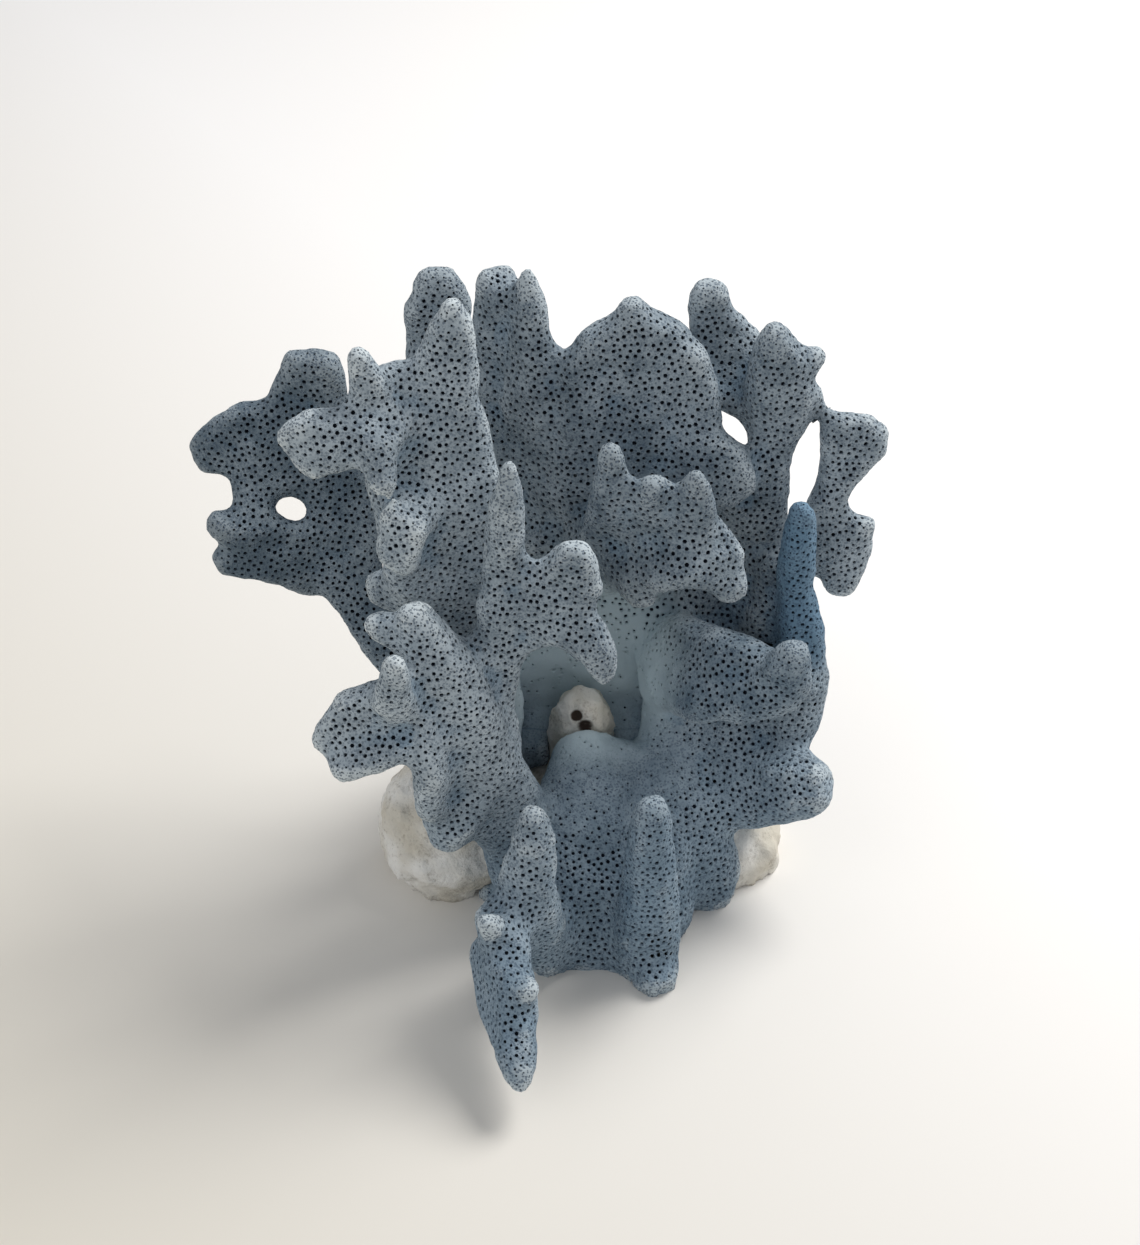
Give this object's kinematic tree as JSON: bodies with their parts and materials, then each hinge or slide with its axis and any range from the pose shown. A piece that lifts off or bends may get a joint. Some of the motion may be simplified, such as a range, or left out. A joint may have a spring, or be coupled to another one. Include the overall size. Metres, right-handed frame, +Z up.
{
  "type": "blue coral colony",
  "caption": "Blue coral colony of upright lobed plates and blunt fingers round a hollow, grown over reef limestone and cut flat underneath to stand as a display piece.",
  "frame": {"origin": "middle of the colony's outline from above, on the flat cut it stands on", "axes": "+X to the right of the picture, along the colony's width; +Y away from the viewer; +Z up, the way it grew"},
  "size_m": [0.1402, 0.1162, 0.136],
  "materials": {
    "coral": "matte, finely pitted blue-grey skeleton",
    "limestone": "matte, rough and pale"
  },
  "bodies": {
    "root": {"outer_right_branch": "coral", "right_finger": "coral", "right_branch": "coral", "right_shelf": "coral", "crown_plate": "coral", "round_plate": "coral", "folded_plate": "coral", "rear_left_plate": "coral", "rear_left_branch": "coral", "left_front_plate": "coral", "centre_finger": "coral", "left_branch": "coral", "front_branch": "coral", "front_finger": "coral", "trunk": "coral", "limestone": "limestone"}
  },
  "joints": []
}
